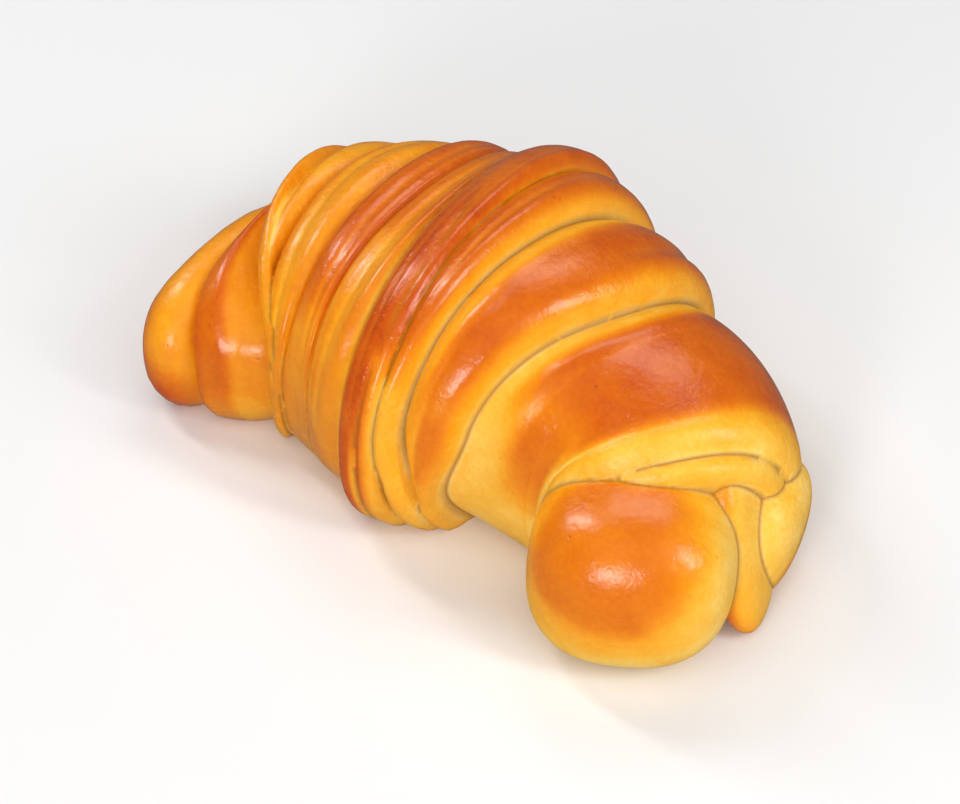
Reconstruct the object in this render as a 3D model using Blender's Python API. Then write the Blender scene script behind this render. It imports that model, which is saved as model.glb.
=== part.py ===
"""A brioche croissant, one piece of baked dough, in metres with +Z up.

The roll lies along a bent centre line, from the left tip (-X) over the high middle to the right tip,
which turns towards -Y. Each turn of the rolled dough is one wrap, a disc round the centre line with a
free edge that stands proud and a tucked edge that runs in under its neighbour. The middle wrap is the
outermost one, so the wraps step down from it towards both tips. All wraps are joined into one solid
and cut flat where the croissant rests.
"""
import math

import bmesh
import bpy
import numpy as np
from mathutils import Matrix, Vector

MM = 0.001

# Centre line: distance from the left tip in mm and heading in plan there in degrees.
HEADINGS = ((0, 33), (25, 37), (50, 9), (75, 7), (100, -6), (118, -40), (132, -70), (150, -104))
START = (-68.0, -13.0)
FINE_STEP = 0.5
LINE_MARGIN = 15.0

# Outline of the dough: distance from the left tip, half width and height, in mm.
OUTLINE = (
    (0, 19, 26), (14, 20, 32), (21, 23, 37), (29, 31, 44), (50, 38, 51), (66, 41, 57),
    (80, 34, 55), (95, 29, 49), (112, 25, 44), (130, 23, 39), (150, 21, 36),
)
# Both tables are rounded off over this distance.
EASING = 15.0

# Section: its roundness (2 is an ellipse), the height of its widest place as a share of the whole,
# and how much deeper than that the lower half would reach if the dough didn't rest on a tray.
SECTION_POWER = 2.3
CENTRE_HEIGHT = 0.42
BELOW_CENTRE = 1.35

# Wraps from the left tip to the middle, then from the middle to the right tip. An edge is its distance
# along the centre line at the near side, the crest and the far side. Rise is how far the free edge
# stands over the outline, sink how far the dough lies under it where the neighbour covers it, roll the
# radius of the free edge.
LEFT_WRAPS = (
    ("a", (-6, -1, 12), 1.0, 2.0, 7.0),
    ("b", (6, 8, 18), 1.5, 3.0, 3.0),
    ("c", (21, 17, 27), 4.0, 3.0, 4.0),
    ("e", (20.5, 25, 46), 2.0, 2.0, 2.5),
    ("f", (24.5, 37, 48), 2.0, 1.5, 2.5),
    ("f2", (36.5, 47, 52), 0.5, 2.5, 2.5),
    ("g", (58.5, 57, 61), 3.0, -2.8, 3.0),
)
MIDDLE_EDGE = (62.5, 60, 64.5)
RIGHT_WRAPS = (
    ("g2", (68, 65.5, 73), 2.8, -2.6, 3.0),
    ("h", (69.5, 74.2, 81), 2.5, -0.5, 3.5),
    ("i", (83, 94.6, 95.5), 2.5, 3.5, 4.0),
    ("j", (144, 127.5, 121.5), 1.5, 3.5, 5.0),
    ("k", (140, 131, 122), -1.5, 2.0, 3.0),
)
UNDERLAP = 6.0
LEAST_WIDTH = 4.0
TUCKED_ROLL = 5.0
SINK_POWER = 2.2
SINK_LIMIT = 1.25

# Unevenness of the hand-rolled dough: how far an edge wanders sideways, and its rise as a share.
EDGE_WANDER = 0.5
RISE_WANDER = 0.2
WANDER_TURN = 2.4

# The roll's ends: the ball that bulges out of the last wrap at the right with two folds of dough behind
# it, and the core of the roll that shows inside the first wrap at the left. Centre, half sizes, heading
# and how far the top leans in plan.
TIPS = (
    ("right_tip", (46.3, -9.2, 17.0), (19.6, 17.6, 18.2), 35, (0.5, 0.5)),
    ("inner_fold", (58.0, 8.5, 17.5), (4.6, 9.0, 16.8), 20, (-5.5, 2.0)),
    ("outer_fold", (54.8, 17.5, 12.5), (9.0, 13.0, 13.5), 20, (1.0, 1.5)),
    ("left_tip", (-61.0, -11.0, 11.0), (8.0, 14.0, 12.5), 10, (0.0, 0.0)),
)
TIP_POWER = 2.5

SEGMENTS = 44
CROWN_RINGS = 4
TIP_RINGS = 14
TRAY_SIZE = 400.0
WELD = 0.002

CRUST_COLOUR = (0.62, 0.22, 0.02, 1.0)
CRUST_ROUGHNESS = 0.3


def eased(rows, column, distance):
    """One column of a table along the centre line, with its corners rounded off."""
    places = [row[0] for row in rows]
    values = [row[column] for row in rows]
    shifts = np.linspace(-EASING / 2, EASING / 2, 9)
    return sum(np.interp(distance + shift, places, values) for shift in shifts) / len(shifts)


def centre_line():
    """Distances, points and headings of the centre line in plan."""
    distance = np.arange(-LINE_MARGIN, HEADINGS[-1][0] + LINE_MARGIN, FINE_STEP)
    heading = np.radians(eased(HEADINGS, 1, distance))
    x = np.cumsum(np.cos(heading)) * FINE_STEP
    y = np.cumsum(np.sin(heading)) * FINE_STEP
    x += START[0] - np.interp(0, distance, x)
    y += START[1] - np.interp(0, distance, y)
    return distance, x, y, heading


LINE = centre_line()


def superellipse(cosine, sine, power):
    """Radius of a unit superellipse in the direction of a cosine and a sine."""
    return (abs(cosine) ** power + abs(sine) ** power) ** (-1 / power)


def dough_point(distance, angle, offset):
    """A point at a distance along the centre line and an angle round it, offset from the outline."""
    places, x, y, heading = LINE
    half_width = eased(OUTLINE, 1, distance)
    height = eased(OUTLINE, 2, distance)
    centre = CENTRE_HEIGHT * height
    cosine, sine = math.cos(angle), math.sin(angle)
    radius = superellipse(cosine, sine, SECTION_POWER)
    side = radius * cosine * half_width
    up = radius * sine * (height - centre if sine > 0 else centre * BELOW_CENTRE)
    scale = 1 + offset / math.hypot(side, up)
    turn = np.interp(distance, places, heading)
    return (
        np.interp(distance, places, x) - side * scale * math.sin(turn),
        np.interp(distance, places, y) + side * scale * math.cos(turn),
        centre + up * scale,
    )


def line_point(distance):
    """The point on the centre line itself."""
    places, x, y, heading = LINE
    centre = CENTRE_HEIGHT * eased(OUTLINE, 2, distance)
    return np.interp(distance, places, x), np.interp(distance, places, y), centre


def edge_distance(edge, angle):
    """Distance along the centre line of an edge, from its near, crest and far values."""
    near, crest, far = edge
    towards_far = (1 + math.cos(angle)) / 2
    over_top = max(0.0, math.sin(angle)) ** 2
    return far * towards_far + near * (1 - towards_far) + (crest - (near + far) / 2) * over_top


def wander(number, angle):
    """A smooth unevenness round the section, different for each wrap."""
    phase = number * WANDER_TURN
    return 0.6 * math.sin(2 * angle + phase) + 0.4 * math.sin(3 * angle + 2 * phase)


def edge_rings(roll):
    """Rings of one rounded edge, as distance in from the edge and depth under the skin."""
    count = 3 + round(roll / 5)
    quarter = [math.pi / 2 * step / count for step in range(count)]
    return [(roll * (1 - math.cos(angle)), roll * (1 - math.sin(angle))) for angle in quarter]


def wrap_profile(free_roll):
    """Rings across a wrap from its free edge, as kind, distance or share, and depth under the skin."""
    rings = [("free", inward, depth) for inward, depth in edge_rings(free_roll)]
    rings += [("crown", step / CROWN_RINGS, 0) for step in range(CROWN_RINGS + 1)]
    rings += [("tucked", inward, depth) for inward, depth in reversed(edge_rings(TUCKED_ROLL))]
    return rings


def finished_mesh(name, bm):
    """An object from a closed bmesh in millimetres."""
    bmesh.ops.recalc_face_normals(bm, faces=bm.faces)
    bmesh.ops.triangulate(bm, faces=bm.faces)
    bm.transform(Matrix.Scale(MM, 4))
    mesh = bpy.data.meshes.new(name)
    bm.to_mesh(mesh)
    bm.free()
    return bpy.data.objects.new(name, mesh)


def add_wrap(number, name, free_edge, cover_edge, rise, sink, roll):
    """One wrap: a sphere with its poles on the centre line, its rings running across the wrap.

    The wrap shows from its free edge to the edge of the neighbour that covers it, and runs on
    under that neighbour.
    """
    rings = wrap_profile(roll)
    side = 1 if sum(cover_edge) > sum(free_edge) else -1
    last_row = len(rings) + 1
    bm = bmesh.new()
    bmesh.ops.create_uvsphere(bm, u_segments=SEGMENTS, v_segments=last_row, radius=1)
    for vert in bm.verts:
        polar = math.acos(max(-1, min(1, vert.co.z)))
        row = round(polar / math.pi * last_row)
        if row == 0:
            vert.co = line_point(sum(free_edge) / 3)
            continue
        if row == last_row:
            width = max(LEAST_WIDTH, side * (sum(cover_edge) - sum(free_edge)) / 3)
            vert.co = line_point(sum(free_edge) / 3 + side * (width + UNDERLAP))
            continue
        angle = math.atan2(vert.co.y, vert.co.x)
        free = edge_distance(free_edge, angle) + EDGE_WANDER * wander(number, angle)
        width = max(LEAST_WIDTH, side * (edge_distance(cover_edge, angle) - free))
        tucked = free + side * (width + UNDERLAP)
        kind, inward, depth = rings[row - 1]
        if kind == "free":
            place = free + side * inward
        elif kind == "tucked":
            place = tucked - side * inward
        else:
            place = free + side * roll + (tucked - free - side * (roll + TUCKED_ROLL)) * inward
        share = min(SINK_LIMIT, max(0, side * (place - free) / width))
        top = rise * (1 + RISE_WANDER * wander(number, angle + 1))
        vert.co = dough_point(place, angle, top - (rise + sink) * share ** SINK_POWER - depth)
    return finished_mesh(name, bm)


def add_tip(name, centre, radii, heading, lean):
    """One end of the roll, a sphere with slightly squared sides."""
    bm = bmesh.new()
    bmesh.ops.create_uvsphere(bm, u_segments=2 * TIP_RINGS, v_segments=TIP_RINGS, radius=1)
    for vert in bm.verts:
        swell = sum(abs(value) ** TIP_POWER for value in vert.co) ** (-1 / TIP_POWER)
        vert.co *= swell
    bmesh.ops.scale(bm, verts=bm.verts, vec=radii)
    bmesh.ops.rotate(bm, verts=bm.verts, matrix=Matrix.Rotation(math.radians(heading), 3, "Z"))
    for vert in bm.verts:
        vert.co.x += lean[0] * vert.co.z / radii[2]
        vert.co.y += lean[1] * vert.co.z / radii[2]
    bmesh.ops.translate(bm, verts=bm.verts, vec=centre)
    return finished_mesh(name, bm)


def all_wraps():
    """The wraps of both halves, each covered by its neighbour towards the middle."""
    wraps = []
    for half in (reversed(LEFT_WRAPS), RIGHT_WRAPS):
        cover = MIDDLE_EDGE
        for name, edge, rise, sink, roll in half:
            wraps.append(add_wrap(len(wraps), name, edge, cover, rise, sink, roll))
            cover = edge
    return wraps


def apply_boolean(target, operation, **operand):
    """Apply one exact Boolean to the target's mesh."""
    modifier = target.modifiers.new(operation.lower(), "BOOLEAN")
    modifier.operation = operation
    modifier.solver = "EXACT"
    for setting, value in operand.items():
        setattr(modifier, setting, value)
    with bpy.context.temp_override(object=target, active_object=target, selected_objects=[target]):
        bpy.ops.object.modifier_apply(modifier=modifier.name)


def join_dough(pieces):
    """All pieces of dough as one solid, by one union with the rest of them."""
    croissant, *others = pieces
    croissant.name = "croissant"
    croissant.data.name = "croissant"
    bpy.context.scene.collection.objects.link(croissant)
    rest = bpy.data.collections.new("wraps")
    bpy.context.scene.collection.children.link(rest)
    for piece in others:
        rest.objects.link(piece)
    apply_boolean(croissant, "UNION", operand_type="COLLECTION", collection=rest)
    for piece in others:
        bpy.data.objects.remove(piece, do_unlink=True)
    bpy.data.collections.remove(rest)
    return croissant


def weld(croissant):
    """Merge the slivers that the union leaves where wraps meet."""
    bm = bmesh.new()
    bm.from_mesh(croissant.data)
    bmesh.ops.remove_doubles(bm, verts=bm.verts, dist=WELD * MM)
    bmesh.ops.dissolve_degenerate(bm, edges=bm.edges, dist=WELD * MM)
    bm.to_mesh(croissant.data)
    bm.free()


def cut_flat(croissant):
    """Cut the dough at the height it rests on."""
    bm = bmesh.new()
    bmesh.ops.create_cube(bm, size=TRAY_SIZE)
    bmesh.ops.translate(bm, verts=bm.verts, vec=(0, 0, -TRAY_SIZE / 2))
    tray = finished_mesh("tray", bm)
    bpy.context.scene.collection.objects.link(tray)
    apply_boolean(croissant, "DIFFERENCE", object=tray)
    bpy.data.objects.remove(tray, do_unlink=True)


def centre_on_origin(croissant):
    """Move the mesh so that the middle of its base is the origin."""
    points = [vert.co for vert in croissant.data.vertices]
    low = Vector([min(point[axis] for point in points) for axis in range(3)])
    high = Vector([max(point[axis] for point in points) for axis in range(3)])
    middle = (low + high) / 2
    croissant.data.transform(Matrix.Translation((-middle.x, -middle.y, -low.z)))


def crust_material():
    """Glossy egg-washed crust."""
    material = bpy.data.materials.new("crust")
    material.use_nodes = True
    shader = material.node_tree.nodes["Principled BSDF"]
    shader.inputs["Base Color"].default_value = CRUST_COLOUR
    shader.inputs["Roughness"].default_value = CRUST_ROUGHNESS
    shader.inputs["Metallic"].default_value = 0.0
    return material


def main():
    for item in list(bpy.data.objects):
        bpy.data.objects.remove(item, do_unlink=True)
    wraps = all_wraps()
    tips = [add_tip(*tip) for tip in TIPS]
    croissant = join_dough(wraps + tips)
    cut_flat(croissant)
    weld(croissant)
    centre_on_origin(croissant)
    croissant.data.materials.clear()
    croissant.data.materials.append(crust_material())


main()
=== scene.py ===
"""The looks of a brioche croissant: one piece of egg-washed dough on a pale floor.

Sizes of the dough are in millimetres in its own frame: the roll lies along a bent centre line from the
left tip over the high middle to the right tip. Each turn of the rolled dough is one wrap with a free
edge that stands proud and a tucked edge that runs in under its neighbour. The finished piece is set
into the box of the solid that it stands for, in metres.
"""
import math

import bpy
import numpy as np
from mathutils import Matrix, Vector
from mathutils.kdtree import KDTree


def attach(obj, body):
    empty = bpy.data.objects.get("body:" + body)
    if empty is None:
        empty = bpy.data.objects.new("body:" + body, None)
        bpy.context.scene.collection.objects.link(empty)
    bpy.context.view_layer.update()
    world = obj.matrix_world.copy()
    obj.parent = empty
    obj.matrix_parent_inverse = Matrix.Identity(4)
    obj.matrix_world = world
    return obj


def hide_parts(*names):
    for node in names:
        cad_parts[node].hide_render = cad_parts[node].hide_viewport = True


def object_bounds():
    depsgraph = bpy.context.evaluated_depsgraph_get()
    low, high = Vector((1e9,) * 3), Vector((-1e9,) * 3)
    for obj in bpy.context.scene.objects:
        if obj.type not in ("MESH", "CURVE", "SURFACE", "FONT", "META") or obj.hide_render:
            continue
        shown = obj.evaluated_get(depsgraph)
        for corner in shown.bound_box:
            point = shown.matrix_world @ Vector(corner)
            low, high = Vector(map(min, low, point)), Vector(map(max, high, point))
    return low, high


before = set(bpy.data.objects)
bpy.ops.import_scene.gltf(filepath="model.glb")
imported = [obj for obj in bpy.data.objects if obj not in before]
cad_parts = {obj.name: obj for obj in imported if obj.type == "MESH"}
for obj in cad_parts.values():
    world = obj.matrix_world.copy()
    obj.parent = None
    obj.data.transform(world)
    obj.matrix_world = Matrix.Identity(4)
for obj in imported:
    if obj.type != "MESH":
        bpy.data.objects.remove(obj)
cad_low, cad_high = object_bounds()

MM = 0.001

# Centre line: distance from the left tip and heading in plan there in degrees.
HEADINGS = ((0, 33), (25, 37), (50, 9), (75, 7), (100, -6), (118, -40), (132, -70), (150, -104))
START = (-68.0, -13.0)
# How finely the line is followed, and how far it runs on past both tips.
FINE_STEP = 0.5
LINE_MARGIN = 15.0

# Outline of the dough: distance from the left tip, half width and height.
OUTLINE = (
    (0, 19, 26), (14, 20, 32), (21, 23, 37), (29, 31, 44), (50, 38, 51), (66, 41, 57),
    (80, 34, 55), (95, 29, 49), (112, 25, 44), (130, 23, 39), (150, 21, 36),
)
# Length over which the corners of both tables are rounded off.
EASING = 15.0
# Squareness of the section, the part of its height at which its centre lies, and how much deeper than
# that it reaches, so that the tray can cut it flat.
SECTION_POWER = 2.3
CENTRE_HEIGHT = 0.42
BELOW_CENTRE = 1.35

# Wraps from the left tip to the middle, then from the middle to the right tip: name, edge, rise, sink
# and roll. An edge is its distance along the centre line at the near side, the crest and the far side,
# and for some how far it sways low on the near side. Rise is how far the free edge stands over the
# outline, sink how far the dough lies under it at the neighbour, roll the radius of the free edge.
LEFT_WRAPS = (
    ("a", (-6, -1, 12), 1.0, 2.0, 7.0),
    ("b", (6, 9, 26), 1.5, 3.0, 2.0),
    ("c", (21, 17, 27), 4.0, 3.0, 2.5),
    ("e", (20.5, 25, 46), 2.0, 2.0, 1.3),
    ("f", (24.5, 37, 48), 2.0, 1.5, 1.3),
    ("f2", (36.5, 47, 52), 0.7, 2.5, 1.3),
    ("g", (58.5, 57, 61), 3.0, -2.8, 2.4),
)
MIDDLE_EDGE = (62.5, 60, 64.5)
RIGHT_WRAPS = (
    ("g2", (68, 65.5, 73), 2.8, -2.6, 3.0),
    ("h", (69.5, 74.2, 81, 4), 2.5, -0.5, 3.5),
    ("i", (81.5, 94.6, 95.5, -5), 2.5, 3.5, 4.0),
    ("j", (143, 127.5, 121.5, -9), 1.5, 3.5, 5.0),
    ("k", (136, 131, 122), -1.5, 2.0, 3.0),
)
# How far a wrap runs in under its neighbour, the least width of one, the radius of its tucked edge, how
# late it sinks towards the neighbour and up to which share across.
UNDERLAP = 6.0
LEAST_WIDTH = 4.0
TUCKED_ROLL = 5.0
SINK_POWER = 3.2
SINK_LIMIT = 1.25
# Part of their rise and sink that some wraps keep low on the near side, the angles between which it
# falls and those between which an edge sways.
LOW_STEPS = {"c": 0.3, "e": 0.12, "f": 0.12, "f2": 0.2}
LOW_TURNS = (130, 180)
SWAY_TURNS = (165, 205)
# Unevenness of the free edges and of their rise, and how it is turned from wrap to wrap. Each of its
# waves is how often it goes round the section, how strong it is and how often it takes that turn.
EDGE_WANDER = 0.5
RISE_WANDER = 0.2
WANDER_TURN = 2.4
WANDER_WAVES = ((2, 0.6, 1), (3, 0.4, 2))
RISE_SHIFT = 1.0

# The roll's ends: the ball that bulges out of the last wrap at the right with two folds of dough behind
# it, and the core of the roll that shows inside the first wrap at the left. Centre, half sizes, heading
# and how far the top leans in plan.
TIPS = (
    ("right_tip", (46.3, -9.2, 17.0), (19.6, 17.6, 18.2), 35, (0.5, 0.5)),
    ("inner_fold", (58.0, 8.5, 17.5), (4.6, 9.0, 16.8), 20, (-5.5, 2.0)),
    ("outer_fold", (54.8, 17.5, 12.5), (9.0, 13.0, 13.5), 20, (1.0, 1.5)),
    ("left_tip", (-61.0, -11.0, 11.0), (8.0, 14.0, 12.5), 10, (0.0, 0.0)),
)
TIP_POWER = 2.5

# Fineness of the mesh: sides round a wrap, rings across it and across a tip.
SIDES = 224
RING_SPACING = 0.75
EDGE_RINGS = 6
TIP_RINGS = 64
# Size of the block under the dough that cuts it flat.
TRAY_SIZE = 400.0

# Low ridges and creases that run along a wrap: the share across it, its height, its half width as a
# share, and the angles round the section between which it lies.
PLEATS = {
    "b": ((0.35, 0.5, 0.25, 60, 200), (1.0, -2.6, 0.8, 30, 145)),
    "c": ((0.14, 1.6, 0.2, 10, 95), (0.36, -3.2, 0.17, 0, 80), (0.45, -0.5, 0.2, 85, 150)),
    "e": ((0.3, -0.4, 0.14, 50, 170), (0.62, 0.35, 0.2, 40, 160)),
    "f": ((0.5, -0.35, 0.2, 40, 150), (0.85, 0.4, 0.12, 40, 160)),
    "f2": ((0.4, -0.4, 0.18, 60, 175), (0.68, 0.8, 0.16, 60, 150)),
    "g": ((0.55, -0.35, 0.4, 30, 160),),
    "g2": ((0.3, 0.3, 0.3, 40, 150),),
    "h": ((0.55, -0.35, 0.2, 60, 150),),
    "i": ((0.35, -0.5, 0.16, 20, 75), (0.74, 0.4, 0.14, 60, 165)),
    "j": ((0.84, 0.5, 0.1, 60, 150), (0.12, 0.4, 0.08, 40, 150)),
}
PLEAT_FADE = 30.0

# Browned patches of each wrap, and the inner fold's painted shade: how brown, the shares across the wrap
# between which it lies (0 at the free edge, 1 at the neighbour that covers it) and the angles round the
# section in degrees between which it lies (0 at the far side, 90 on top, 180 at the near side). At the
# roll's ends they are how far it faces the browned side and the angle from the pale side.
BROWNING_AND_FOLD_SHADE = {
    "a": ((0.34, -0.5, 1.5, -20, 250), (0.6, -0.5, 0.12, 0, 185), (0.45, 0.85, 1.5, 30, 170)),
    "b": ((0.42, -0.5, 1.5, -20, 250), (0.74, -0.5, 0.5, -10, 250), (0.5, 0.95, 1.5, 40, 120)),
    "c": ((0.32, -0.5, 1.5, -20, 250), (0.55, -0.5, 0.12, 20, 170), (0.42, 0.75, 1.5, 0, 110)),
    "e": ((0.38, -0.5, 1.5, -20, 250), (0.58, -0.5, 0.12, 0, 165), (0.64, 0.84, 1.6, -10, 150)),
    "f": ((0.46, -0.5, 1.5, -20, 250), (0.78, -0.5, 1.5, -20, 140)),
    "f2": ((0.43, -0.5, 1.5, -20, 250), (0.66, -0.5, 1.5, -20, 112)),
    "g": ((0.36, -0.5, 1.5, -20, 250), (0.88, -0.5, 1.5, -20, 178), (0.93, -0.5, 0.9, 150, 235)),
    "g2": ((0.22, -0.5, 1.5, -20, 250), (0.8, -0.5, 1.5, -20, 146), (0.86, 0.55, 1.5, 130, 210)),
    "h": ((0.15, -0.5, 1.5, -20, 250), (0.76, 0.1, 1.5, -10, 145)),
    "i": ((0.2, -0.5, 1.5, -20, 250), (0.8, 0.1, 0.72, 0, 158), (0.6, 0.1, 0.6, 140, 188)),
    "j": ((0.13, -0.5, 1.5, -20, 250), (0.84, 0.2, 0.9, 0, 140), (0.68, 0.28, 0.8, 120, 176)),
    "k": ((0.12, -0.5, 1.5, -20, 250),),
    "right_tip": ((0.28, 0.62, 1.5, 72, 400), (0.66, 0.76, 1.5, 80, 400)),
    # Inner fold: its side away from the pale side, towards the ball, is painted orange as painted shade
    # in the gap beside the ball.
    "inner_fold": ((0.08, 0.6, 1.5, 0, 400), (0.42, 0.3, 1.5, 88, 400)),
    "outer_fold": ((0.05, 0.6, 1.5, 0, 400), (0.42, -0.5, 0.5, 0, 400)),
    "left_tip": ((0.6, 0.2, 1.5, 0, 400),),
}
# Share and angle over which a patch fades at its borders.
SHARE_FADE = 0.18
ANGLE_FADE = 44.0
# The crust's own tone where nothing browned it, the most it can have, and how evened out it is.
PALE_TONE = 0.05
MOST_TONE = 0.93
TONE_SPREAD = 6
# Wraps with a pale wall at the free edge, its tone, how much it counts and how far it reaches.
PALE_WALLS = ("c", "g2", "h", "i", "j", "k")
WALL_TONE = 0.2
WALL_STRENGTH = 0.8
WALL_SHARE = 0.05
# Heights between which the sides turn from paler by the tray to full tone.
LOW_SIDE, FULL_SIDE = 2.0, 16.0
LOW_TONE = 0.55
# Tone that a ridge gains and a crease loses, and the bends per mm at which they do so in full.
RIM_TONE, RIM_BEND = 0.12, 0.3
CREASE_TONE, CREASE_BEND = 0.25, 0.35
# How evened out the bends are, and the least square of an edge's length that they count.
BEND_SPREAD = 2
LEAST_SQUARE = 0.01
# Painted shade in the creases where wraps meet: the bend that gives it in full, how evened out it is,
# its half width.
CREASE_SHADE_BEND, CREASE_SHADE_SPREAD, CREASE_SHADE_REACH = 0.16, 2, 0.7
# A point further than this from every point of the single wraps lies where wraps meet.
SEAM_GAP = 0.01
# Places baked browner: centre, reach and how much. They are even in the core and fade outwards.
BURNS = (
    ((-62.0, -29.0, 3.0), (15.0, 13.0, 15.0), 0.65),
    ((61.0, 3.0, 6.0), (8.0, 11.0, 14.0), 0.28),
)
BURN_CORE = 0.3
# The ways that the browned and the pale side of the roll's ends face.
BROWNED_SIDE = (-0.1, -0.6, 0.79)
PALE_SIDE = (0.92, 0.2, -0.34)

# Colours of the crust by tone, and of the painted shade in the creases where wraps meet, with how much
# it covers.
CRUST_COLOURS = (
    (0.0, (0.98, 0.64, 0.15)),
    (0.1, (0.96, 0.54, 0.06)),
    (0.22, (0.94, 0.44, 0.02)),
    (0.36, (0.90, 0.34, 0.008)),
    (0.5, (0.84, 0.26, 0.005)),
    (0.64, (0.76, 0.19, 0.003)),
    (0.78, (0.68, 0.14, 0.002)),
    (0.92, (0.58, 0.088, 0.001)),
    (1.0, (0.46, 0.055, 0.001)),
)
CREASE_SHADE_COLOUR = (0.34, 0.10, 0.003)
CREASE_SHADE_COVER = 0.75
# Blotches, grain and pores: fineness per metre, detail and roughness of the noise, and how much they
# change the tone.
BLOTCHES, BLOTCH_TONE = (130.0, 3.0, 0.5), 0.32
GRAIN, GRAIN_TONE = (900.0, 4.0, 0.65), 0.22
PORES, PORE_TONE = 330.0, 0.2
PORE_WIDTH = (0.06, 0.16)
PORE_PATCHES, PORE_PATCH_EDGE = 210.0, (0.55, 0.7)
# Relief of the crust: strength and depth in metres, and the fineness of its dimples.
DIMPLES, DIMPLE_RELIEF = 420.0, (0.35, 0.0006)
GRAIN_RELIEF = (0.5, 0.0003)
PORE_RELIEF = (0.4, 0.0002)
# Egg wash: how far blotches break it up, the tones between which it comes in, the coat and the
# roughness of bare crust with what the wash takes off it.
GLAZE_BLOTCHES = 0.5
GLAZE_TONES = (0.3, 0.8)
GLAZE_COAT = 0.3
BARE_ROUGHNESS, GLAZE_SMOOTHING = 0.4, 0.23
CRUST_SETTINGS = {
    "Specular IOR Level": 0.4,
    "Coat Roughness": 0.17,
    "Subsurface Weight": 0.12,
    "Subsurface Radius": (1.0, 0.4, 0.1),
    "Subsurface Scale": 0.002,
}

# Floor and surroundings, sizes in metres.
FLOOR_SIZE = 4
FLOOR_COLOUR = (0.84, 0.84, 0.84)
FLOOR_ROUGHNESS = 0.8
SURROUNDINGS = 0.14
# Softboxes: turn from -Y and rise over the horizon in degrees, distance and size in metres, power in
# watts and whether the crust mirrors them.
SOFTBOXES = (
    ("overhead", -148, 58, 0.7, (0.34, 0.22), 0.7, True),
    ("left", -85, 45, 0.8, (0.08, 0.45), 1.9, True),
    ("right", 100, 38, 0.8, (0.12, 0.4), 2.0, True),
    ("front", 24, 22, 0.9, (0.22, 0.26), 2.6, True),
    ("fill", 42, 60, 0.9, (1.1, 0.9), 5.0, False),
)
LIT_POINT = (0, 0, 0.025)

# Camera: where it looks in the dough's own frame, its direction, its distance and the width it sees.
LOOK_AT = (0.0, 0.0, 22.0)
CAMERA_TURN = 42
CAMERA_RISE = 45
CAMERA_DISTANCE = 700.0
SEEN_WIDTH = 184.6
SENSOR_WIDTH = 36
CLIP_START = 0.01
# Room left between the dough and the box of the solid, in metres.
BOX_GAP = 0.0001


def eased(rows, column, distance):
    """One column of a table along the centre line, with its corners rounded off."""
    places = [row[0] for row in rows]
    values = [row[column] for row in rows]
    shifts = np.linspace(-EASING / 2, EASING / 2, 9)
    return sum(np.interp(distance + shift, places, values) for shift in shifts) / len(shifts)


def centre_line():
    """Distances, points and headings of the centre line in plan."""
    distance = np.arange(-LINE_MARGIN, HEADINGS[-1][0] + LINE_MARGIN, FINE_STEP)
    heading = np.radians(eased(HEADINGS, 1, distance))
    x = np.cumsum(np.cos(heading)) * FINE_STEP
    y = np.cumsum(np.sin(heading)) * FINE_STEP
    x += START[0] - np.interp(0, distance, x)
    y += START[1] - np.interp(0, distance, y)
    return distance, x, y, heading


LINE = centre_line()


def bump(value, centre, half_width):
    """1 at the centre, falling smoothly to 0 at the half width."""
    near = np.clip(1 - np.abs(value - centre) / half_width, 0, 1)
    return near * near * (3 - 2 * near)


def ramp(value, start, end):
    """0 before start and 1 after end, smooth in between."""
    part = np.clip((value - start) / (end - start), 0, 1)
    return part * part * (3 - 2 * part)


def window(value, start, end, fade):
    """1 between start and end, falling to 0 over the fade at both."""
    return ramp(value, start - fade / 2, start + fade / 2) * (
        1 - ramp(value, end - fade / 2, end + fade / 2)
    )


def superellipse(cosine, sine, power):
    """Radius of a unit superellipse in the direction of a cosine and a sine."""
    return (np.abs(cosine) ** power + np.abs(sine) ** power) ** (-1 / power)


def dough_points(distance, angle, offset):
    """Points at distances along the centre line and angles round it, offset from the outline."""
    places, x, y, heading = LINE
    half_width = eased(OUTLINE, 1, distance)
    height = eased(OUTLINE, 2, distance)
    centre = CENTRE_HEIGHT * height
    cosine, sine = np.cos(angle), np.sin(angle)
    radius = superellipse(cosine, sine, SECTION_POWER)
    side = radius * cosine * half_width
    up = radius * sine * np.where(sine > 0, height - centre, centre * BELOW_CENTRE)
    scale = 1 + offset / np.hypot(side, up)
    turn = np.interp(distance, places, heading)
    return np.stack(
        (
            np.interp(distance, places, x) - side * scale * np.sin(turn),
            np.interp(distance, places, y) + side * scale * np.cos(turn),
            centre + up * scale,
        ),
        axis=1,
    )


def line_point(distance):
    """The point on the centre line itself."""
    places, x, y, heading = LINE
    centre = CENTRE_HEIGHT * eased(OUTLINE, 2, distance)
    return np.interp(distance, places, x), np.interp(distance, places, y), centre


def edge_distance(edge, angle):
    """Distance along the centre line of an edge, from its near, crest and far values and its sway."""
    near, crest, far, *low = edge
    turn = np.degrees(np.where(angle < -math.pi / 2, angle + 2 * math.pi, angle))
    sway = sum(low) * ramp(turn, *SWAY_TURNS)
    towards_far = (1 + np.cos(angle)) / 2
    over_top = np.maximum(0, np.sin(angle)) ** 2
    across = far * towards_far + near * (1 - towards_far)
    return across + (crest - (near + far) / 2) * over_top + sway


def wander(number, angle):
    """A smooth unevenness round the section, different for each wrap."""
    phase = number * WANDER_TURN
    waves = [strong * np.sin(often * angle + turns * phase) for often, strong, turns in WANDER_WAVES]
    return sum(waves)


def edge_rings(roll):
    """Rings of one rounded edge, as distance in from the edge and depth under the skin."""
    quarter = np.arange(EDGE_RINGS) / EDGE_RINGS * math.pi / 2
    return [(roll * (1 - math.cos(angle)), roll * (1 - math.sin(angle))) for angle in quarter]


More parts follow.
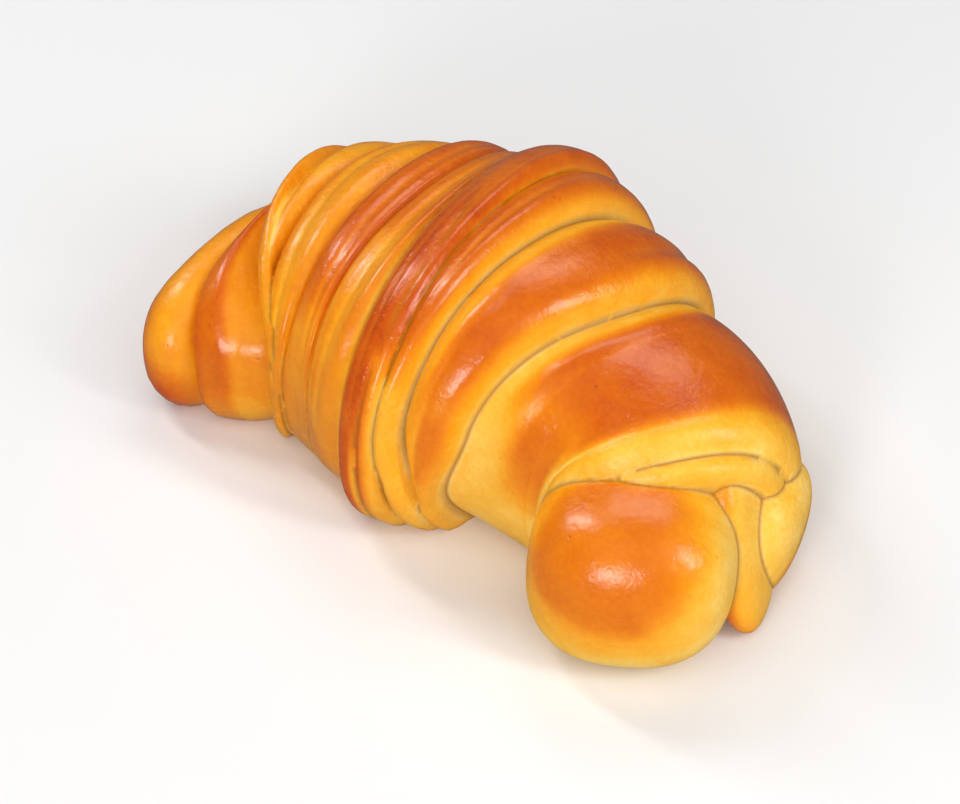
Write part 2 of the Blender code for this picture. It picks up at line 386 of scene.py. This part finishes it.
def wrap_profile(free_roll, width):
    """Rings across a wrap from its free edge, as kind, distance or share, and depth under the skin."""
    crown = math.ceil((width + UNDERLAP - free_roll) / RING_SPACING)
    rings = [("free", inward, depth) for inward, depth in edge_rings(free_roll)]
    rings += [("crown", step / crown, 0) for step in range(crown + 1)]
    rings += [("tucked", inward, depth) for inward, depth in reversed(edge_rings(TUCKED_ROLL))]
    return rings


def deselect_all():
    bpy.ops.object.select_all(action="DESELECT")


def make_active(piece):
    """Select one object alone and make it the active one."""
    deselect_all()
    piece.select_set(True)
    bpy.context.view_layer.objects.active = piece


def add_ball(name, sides, rings):
    """A unit ball and its points as an array."""
    deselect_all()
    bpy.ops.mesh.primitive_uv_sphere_add(segments=sides, ring_count=rings, radius=1)
    ball = bpy.context.active_object
    ball.name = name
    points = np.zeros(len(ball.data.vertices) * 3)
    ball.data.vertices.foreach_get("co", points)
    return ball, points.reshape(-1, 3)


def set_points(piece, points):
    piece.data.vertices.foreach_set("co", np.asarray(points, np.float32).ravel())
    piece.data.update()


def turn_faces_out(piece):
    """Point all faces outwards."""
    make_active(piece)
    bpy.ops.object.mode_set(mode="EDIT")
    bpy.ops.mesh.select_all(action="SELECT")
    bpy.ops.mesh.normals_make_consistent(inside=False)
    bpy.ops.object.mode_set(mode="OBJECT")


def pleat_height(name, share, turn):
    """How far the pleats of a wrap lift its skin."""
    height = np.zeros_like(share)
    for place, lift, half_width, start, end in PLEATS.get(name, ()):
        along = window(turn, start, end, PLEAT_FADE)
        across = np.minimum(share, place) if place >= 1 else share
        height += lift * bump(across, place, half_width) * along
    return height


def add_wrap(number, name, free_edge, cover_edge, rise, sink, roll):
    """One wrap and how far across and round it each of its points lies."""
    side = 1 if cover_edge[1] > free_edge[1] else -1
    turns = np.linspace(0, 2 * math.pi, SIDES)
    widths = side * (edge_distance(cover_edge, turns) - edge_distance(free_edge, turns))
    rings = wrap_profile(roll, widths.max())
    last_row = len(rings) + 1
    wrap, unit = add_ball(name, SIDES, last_row)
    row = np.rint(np.arccos(np.clip(unit[:, 2], -1, 1)) / math.pi * last_row).astype(int)
    angle = np.arctan2(unit[:, 1], unit[:, 0])
    free = edge_distance(free_edge, angle) + EDGE_WANDER * wander(number, angle)
    width = np.maximum(LEAST_WIDTH, side * (edge_distance(cover_edge, angle) - free))
    tucked = free + side * (width + UNDERLAP)
    table = rings[:1] + rings + rings[-1:]
    kind = np.array([ring[0] for ring in table])[row]
    inward = np.array([ring[1] for ring in table])[row]
    depth = np.array([ring[2] for ring in table])[row]
    place = free + side * roll + (tucked - free - side * (roll + TUCKED_ROLL)) * inward
    place = np.where(kind == "free", free + side * inward, place)
    place = np.where(kind == "tucked", tucked - side * inward, place)
    share = np.clip(side * (place - free) / width, 0, SINK_LIMIT)
    turn = np.where(angle < -math.pi / 2, angle + 2 * math.pi, angle) * 180 / math.pi
    step = 1 - (1 - LOW_STEPS.get(name, 1)) * ramp(turn, *LOW_TURNS)
    top = rise * (step + RISE_WANDER * wander(number, angle + RISE_SHIFT))
    top = top + pleat_height(name, share, turn)
    points = dough_points(place, angle, top - (rise + sink) * step * share ** SINK_POWER - depth)
    middle = sum(free_edge[:3]) / 3
    average = max(LEAST_WIDTH, side * (sum(cover_edge[:3]) / 3 - middle))
    points[row == 0] = line_point(middle)
    points[row == last_row] = line_point(middle + side * (average + UNDERLAP))
    set_points(wrap, points)
    turn_faces_out(wrap)
    return wrap, points, share, np.degrees(angle)


def add_tip(name, centre, radii, heading, lean):
    """One end of the roll, a ball with slightly squared sides."""
    tip, unit = add_ball(name, 2 * TIP_RINGS, TIP_RINGS)
    swell = (np.abs(unit) ** TIP_POWER).sum(1) ** (-1 / TIP_POWER)
    points = unit * swell[:, None] * np.array(radii)
    turn = np.array(Matrix.Rotation(math.radians(heading), 3, "Z"))
    points = points @ turn.T + points[:, 2:] / radii[2] * np.array((*lean, 0)) + np.array(centre)
    set_points(tip, points)
    facing = unit @ np.array(BROWNED_SIDE)
    away = np.degrees(np.arccos(np.clip(unit @ np.array(PALE_SIDE), -1, 1)))
    return tip, points, (1 + facing) / 2, away


def all_dough():
    """Every wrap and tip with its points, shares across and angles round."""
    dough = []
    for half in (reversed(LEFT_WRAPS), RIGHT_WRAPS):
        cover = MIDDLE_EDGE
        for name, edge, rise, sink, roll in half:
            dough.append(add_wrap(len(dough), name, edge, cover, rise, sink, roll))
            cover = edge
    return dough + [add_tip(*tip) for tip in TIPS]


def apply_modifier(piece, kind, **settings):
    """Add one modifier to a piece and apply it."""
    make_active(piece)
    modifier = piece.modifiers.new(kind.lower(), kind)
    for setting, value in settings.items():
        setattr(modifier, setting, value)
    bpy.ops.object.modifier_apply(modifier=modifier.name)


def join_dough(pieces):
    """All wraps and tips as one piece of dough, cut flat where it rests."""
    croissant, *others = pieces
    rest = bpy.data.collections.new("wraps")
    bpy.context.scene.collection.children.link(rest)
    for piece in others:
        rest.objects.link(piece)
    apply_modifier(
        croissant, "BOOLEAN", operation="UNION", solver="MANIFOLD",
        operand_type="COLLECTION", collection=rest,
    )
    for piece in others:
        bpy.data.objects.remove(piece, do_unlink=True)
    bpy.data.collections.remove(rest)
    deselect_all()
    bpy.ops.mesh.primitive_cube_add(size=TRAY_SIZE, location=(0, 0, -TRAY_SIZE / 2))
    tray = bpy.context.active_object
    bpy.ops.object.transform_apply(location=True, rotation=False, scale=False)
    apply_modifier(croissant, "BOOLEAN", operation="DIFFERENCE", solver="MANIFOLD", object=tray)
    bpy.data.objects.remove(tray, do_unlink=True)
    croissant.name = "dough"
    return croissant


def points_of(piece):
    points = np.zeros(len(piece.data.vertices) * 3)
    piece.data.vertices.foreach_get("co", points)
    return points.reshape(-1, 3)


def normals_of(piece):
    return np.array([vert.normal for vert in piece.data.vertices])


def sources(piece, dough):
    """For each point of the joined dough: its wrap, share across, angle and whether wraps meet there."""
    total = sum(len(points) for _, points, _, _ in dough)
    tree = KDTree(total)
    wraps, shares, angles = [], [], []
    index = 0
    for number, (_, points, share, angle) in enumerate(dough):
        for point in points:
            tree.insert(point, index)
            index += 1
        wraps.append(np.full(len(points), number))
        shares.append(share)
        angles.append(angle)
    tree.balance()
    nearest = [tree.find(point)[1:] for point in points_of(piece)]
    found = np.array([index for index, _ in nearest])
    seams = np.array([distance > SEAM_GAP for _, distance in nearest])
    return tuple(np.concatenate(part)[found] for part in (wraps, shares, angles)) + (seams,)


def add_attribute(piece, name, values):
    attribute = piece.data.attributes.new(name, "FLOAT", "POINT")
    attribute.data.foreach_set("value", np.asarray(values, np.float32))


def edges_of(piece):
    edges = np.zeros(len(piece.data.edges) * 2, np.int32)
    piece.data.edges.foreach_get("vertices", edges)
    return edges.reshape(-1, 2)


def spread(values, edges, times):
    """Values at the points, evened out with those of their neighbours."""
    first, second = edges.T
    count = np.bincount(edges.ravel(), minlength=len(values))
    for _ in range(times):
        total = np.bincount(first, values[second], len(values))
        total += np.bincount(second, values[first], len(values))
        values = (values + total / np.maximum(count, 1)) / 2
    return values


def bend_of(piece, edges):
    """How sharply the skin bends at each point, over 0 on a ridge and under 0 in a crease, per mm."""
    points, normals = points_of(piece), normals_of(piece)
    first, second = edges.T
    reach = points[second] - points[first]
    square = np.maximum((reach ** 2).sum(1), LEAST_SQUARE)
    bend = ((normals[second] - normals[first]) * reach).sum(1) / square
    count = np.bincount(edges.ravel(), minlength=len(points))
    total = np.bincount(first, bend, len(points)) + np.bincount(second, bend, len(points))
    return spread(np.clip(total / np.maximum(count, 1), -1, 1), edges, BEND_SPREAD)


def crease_shade_lines(points, depth, seams):
    """How much painted shade each point gets in the creases where wraps meet."""
    tree = KDTree(int(seams.sum()))
    for index in np.flatnonzero(seams):
        tree.insert(points[index], int(index))
    tree.balance()
    nearest = [tree.find(point)[1:] for point in points]
    index = np.array([index for index, _ in nearest])
    away = np.array([distance for _, distance in nearest])
    return depth[index] * np.clip(1 - away / CREASE_SHADE_REACH, 0, 1)


def paint_bake_and_shade(piece, names, wraps, shares, angles, seams):
    """Paint how baked the crust is, 0 for pale and 1 for dark brown, with painted shade on the inner
    fold's side towards the ball, and painted shade in the creases at its seams.
    """
    turn = np.where(angles < -90, angles + 360, angles)
    points = points_of(piece)
    edges = edges_of(piece)
    tone = np.full(len(shares), PALE_TONE)
    for number, name in enumerate(names):
        for brown, first, last, start, end in BROWNING_AND_FOLD_SHADE[name]:
            patch = window(shares, first, last, SHARE_FADE) * window(turn, start, end, ANGLE_FADE)
            browned = np.maximum(tone, PALE_TONE + (brown - PALE_TONE) * patch)
            tone = np.where(wraps == number, browned, tone)
    pale_walls = [number for number, name in enumerate(names) if name in PALE_WALLS]
    wall = (1 - ramp(shares, 0, WALL_SHARE)) * np.isin(wraps, pale_walls)
    tone += (WALL_TONE - tone) * wall * WALL_STRENGTH
    tone *= LOW_TONE + (1 - LOW_TONE) * ramp(points[:, 2], LOW_SIDE, FULL_SIDE)
    tone = spread(tone, edges, TONE_SPREAD)
    bend = bend_of(piece, edges)
    tone += RIM_TONE * np.clip(bend, 0, RIM_BEND) / RIM_BEND
    tone -= CREASE_TONE * np.clip(-bend, 0, CREASE_BEND) / CREASE_BEND
    for place, reach, brown in BURNS:
        away = np.linalg.norm((points - np.array(place)) / np.array(reach), axis=1)
        tone += brown * (1 - ramp(away, BURN_CORE, 1))
    # The tone holds both the baking and the inner fold's painted shade.
    add_attribute(piece, "bake_and_fold_shade", np.clip(tone, 0, MOST_TONE))
    # Painted shade: a dark line in the creases where wraps meet.
    depth = np.clip(-spread(bend, edges, CREASE_SHADE_SPREAD) / CREASE_SHADE_BEND, 0, 1)
    add_attribute(piece, "crease_shade", crease_shade_lines(points, depth, seams & (points[:, 2] > SEAM_GAP)))


def fit_to_frame(piece):
    """Set the piece into the solid's box, in metres. Gives the scale and shift it took."""
    points = points_of(piece)
    low, high = points.min(0), points.max(0)
    room = np.array(cad_high) - np.array(cad_low) - BOX_GAP
    scale = room / (high - low)
    shift = (np.array(cad_low) + np.array(cad_high)) / 2 - scale * (low + high) / 2
    shift[2] = cad_low[2] - scale[2] * low[2]
    set_points(piece, points * scale + shift)
    return scale, shift


def add_node(tree, kind, **settings):
    """A node with constants set on its sockets by name."""
    node = tree.nodes.new(kind)
    for socket, value in settings.items():
        node.inputs[socket.replace("_", " ").title()].default_value = value
    return node


def maths(tree, operation, first, second):
    """A maths node of two values, each a socket or a constant."""
    node = tree.nodes.new("ShaderNodeMath")
    node.operation = operation
    for socket, value in zip(node.inputs, (first, second)):
        if isinstance(value, float):
            socket.default_value = value
        else:
            tree.links.new(value, socket)
    return node.outputs[0]


def speckle(tree, place, scale, detail=2.0, roughness=0.5):
    """Soft noise from 0 to 1 of a fineness per metre."""
    noise = add_node(tree, "ShaderNodeTexNoise", scale=scale, detail=detail, roughness=roughness)
    tree.links.new(place, noise.inputs["Vector"])
    return noise.outputs["Fac"]


def masked(tree, value, low, high):
    """A value stretched so that low gives 0 and high gives 1, cut off there."""
    node = add_node(tree, "ShaderNodeMapRange")
    node.inputs["From Min"].default_value = low
    node.inputs["From Max"].default_value = high
    tree.links.new(value, node.inputs["Value"])
    return node.outputs["Result"]


def add_relief(tree, height, strength, distance, under=None):
    """A bump over another one. Gives its normal."""
    node = add_node(tree, "ShaderNodeBump", strength=strength, distance=distance)
    tree.links.new(height, node.inputs["Height"])
    if under is not None:
        tree.links.new(under, node.inputs["Normal"])
    return node.outputs["Normal"]


def varied(tree, tone, pattern, amount):
    """A tone made lighter and darker by a pattern from 0 to 1."""
    change = maths(tree, "MULTIPLY", maths(tree, "SUBTRACT", pattern, 0.5), amount)
    return maths(tree, "ADD", tone, change)


def painted(tree, name):
    """A value painted on the points."""
    node = tree.nodes.new("ShaderNodeAttribute")
    node.attribute_name = name
    return node.outputs["Fac"]


def pore_mask(tree, place):
    """Pores in some patches of the crust, 1 in a pore."""
    cells = add_node(tree, "ShaderNodeTexVoronoi", scale=PORES)
    tree.links.new(place, cells.inputs["Vector"])
    pores = maths(tree, "SUBTRACT", 1.0, masked(tree, cells.outputs["Distance"], *PORE_WIDTH))
    patches = masked(tree, speckle(tree, place, PORE_PATCHES), *PORE_PATCH_EDGE)
    return maths(tree, "MULTIPLY", pores, patches)


def crust_colour(tree, tone):
    """The colour of a tone, with painted shade darkening the creases where wraps meet."""
    colours = tree.nodes.new("ShaderNodeValToRGB")
    while len(colours.color_ramp.elements) < len(CRUST_COLOURS):
        colours.color_ramp.elements.new(0.5)
    for element, (spot, colour) in zip(colours.color_ramp.elements, CRUST_COLOURS):
        element.position = spot
        element.color = (*colour, 1)
    tree.links.new(tone, colours.inputs["Fac"])
    # Painted shade darkens the creases where wraps meet.
    shade = tree.nodes.new("ShaderNodeMix")
    shade.data_type = "RGBA"
    shade.inputs["B"].default_value = (*CREASE_SHADE_COLOUR, 1)
    cover = maths(tree, "MULTIPLY", painted(tree, "crease_shade"), CREASE_SHADE_COVER)
    tree.links.new(cover, shade.inputs["Factor"])
    tree.links.new(colours.outputs["Color"], shade.inputs["A"])
    return shade.outputs["Result"]


def crust_material():
    """Egg-washed crust, from pale yellow in the folds to brown on the crests."""
    material = bpy.data.materials.new("egg_washed_crust")
    material.use_nodes = True
    tree = material.node_tree
    links = tree.links
    shader = tree.nodes["Principled BSDF"]
    place = tree.nodes.new("ShaderNodeTexCoord").outputs["Object"]
    # The painted tone holds both the baking and the inner fold's painted shade.
    bake_and_fold_shade = painted(tree, "bake_and_fold_shade")
    blotches = speckle(tree, place, *BLOTCHES)
    grain = speckle(tree, place, *GRAIN)
    pores = pore_mask(tree, place)
    tone = varied(tree, bake_and_fold_shade, blotches, BLOTCH_TONE)
    tone = varied(tree, tone, grain, GRAIN_TONE)
    tone = maths(tree, "ADD", tone, maths(tree, "MULTIPLY", pores, PORE_TONE))
    links.new(crust_colour(tree, tone), shader.inputs["Base Color"])
    uneven = maths(tree, "ADD", bake_and_fold_shade, maths(tree, "MULTIPLY", blotches, GLAZE_BLOTCHES))
    glaze = masked(tree, uneven, *GLAZE_TONES)
    links.new(maths(tree, "MULTIPLY", glaze, GLAZE_COAT), shader.inputs["Coat Weight"])
    smoothing = maths(tree, "MULTIPLY", glaze, GLAZE_SMOOTHING)
    roughness = maths(tree, "SUBTRACT", BARE_ROUGHNESS, smoothing)
    links.new(roughness, shader.inputs["Roughness"])
    relief = add_relief(tree, speckle(tree, place, DIMPLES), *DIMPLE_RELIEF)
    relief = add_relief(tree, grain, *GRAIN_RELIEF, relief)
    relief = add_relief(tree, maths(tree, "SUBTRACT", 1.0, pores), *PORE_RELIEF, relief)
    links.new(relief, shader.inputs["Normal"])
    for setting, value in CRUST_SETTINGS.items():
        shader.inputs[setting].default_value = value
    return material


def plain_material(name, colour, roughness):
    material = bpy.data.materials.new(name)
    material.use_nodes = True
    shader = material.node_tree.nodes["Principled BSDF"]
    shader.inputs["Base Color"].default_value = (*colour, 1)
    shader.inputs["Roughness"].default_value = roughness
    return material


def direction(turn, rise):
    """Unit vector towards a place at a turn from -Y and a rise over the horizon, in degrees."""
    turn, rise = math.radians(turn), math.radians(rise)
    return Vector(
        (math.sin(turn) * math.cos(rise), -math.cos(turn) * math.cos(rise), math.sin(rise))
    )


def add_camera(scale, shift):
    """The camera, looking down at the near side from its right."""
    target = Vector(np.array(LOOK_AT) * scale + shift)
    towards = direction(CAMERA_TURN, CAMERA_RISE)
    deselect_all()
    bpy.ops.object.camera_add(location=target + towards * CAMERA_DISTANCE * MM)
    camera = bpy.context.active_object
    camera.rotation_euler = towards.to_track_quat("Z", "Y").to_euler()
    camera.data.sensor_width = SENSOR_WIDTH
    camera.data.lens = SENSOR_WIDTH * CAMERA_DISTANCE / SEEN_WIDTH
    camera.data.clip_start = CLIP_START
    bpy.context.scene.camera = camera


def add_softbox(name, turn, rise, distance, size, power, mirrored):
    """A soft studio light that faces the croissant."""
    towards = direction(turn, rise)
    deselect_all()
    bpy.ops.object.light_add(type="AREA", location=Vector(LIT_POINT) + towards * distance)
    light = bpy.context.active_object
    light.name = name
    light.rotation_euler = towards.to_track_quat("Z", "Y").to_euler()
    light.data.shape = "RECTANGLE"
    light.data.size, light.data.size_y = size
    light.data.energy = power
    light.visible_glossy = mirrored


def add_floor():
    deselect_all()
    bpy.ops.mesh.primitive_plane_add(size=FLOOR_SIZE, location=(0, 0, cad_low[2]))
    floor = bpy.context.active_object
    floor.name = "floor"
    floor.data.materials.append(plain_material("pale_floor", FLOOR_COLOUR, FLOOR_ROUGHNESS))
    floor.visible_glossy = False


def set_world():
    world = bpy.data.worlds.new("studio")
    world.use_nodes = True
    background = world.node_tree.nodes["Background"]
    background.inputs["Color"].default_value = (1, 1, 1, 1)
    background.inputs["Strength"].default_value = SURROUNDINGS
    bpy.context.scene.world = world


# Model the dough, join it, paint it and set it into the solid's box.
dough = all_dough()
names = [piece.name for piece, _, _, _ in dough]
brioche = join_dough([piece for piece, _, _, _ in dough])
paint_bake_and_shade(brioche, names, *sources(brioche, dough))
scale, shift = fit_to_frame(brioche)
brioche.data.materials.clear()
brioche.data.materials.append(crust_material())
make_active(brioche)
bpy.ops.object.shade_smooth()
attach(brioche, "root")
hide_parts("croissant")
print("triangles", sum(len(face.vertices) - 2 for face in brioche.data.polygons))

add_floor()
set_world()
add_camera(scale, shift)
for softbox in SOFTBOXES:
    add_softbox(*softbox)
bpy.context.scene.view_settings.view_transform = "Standard"
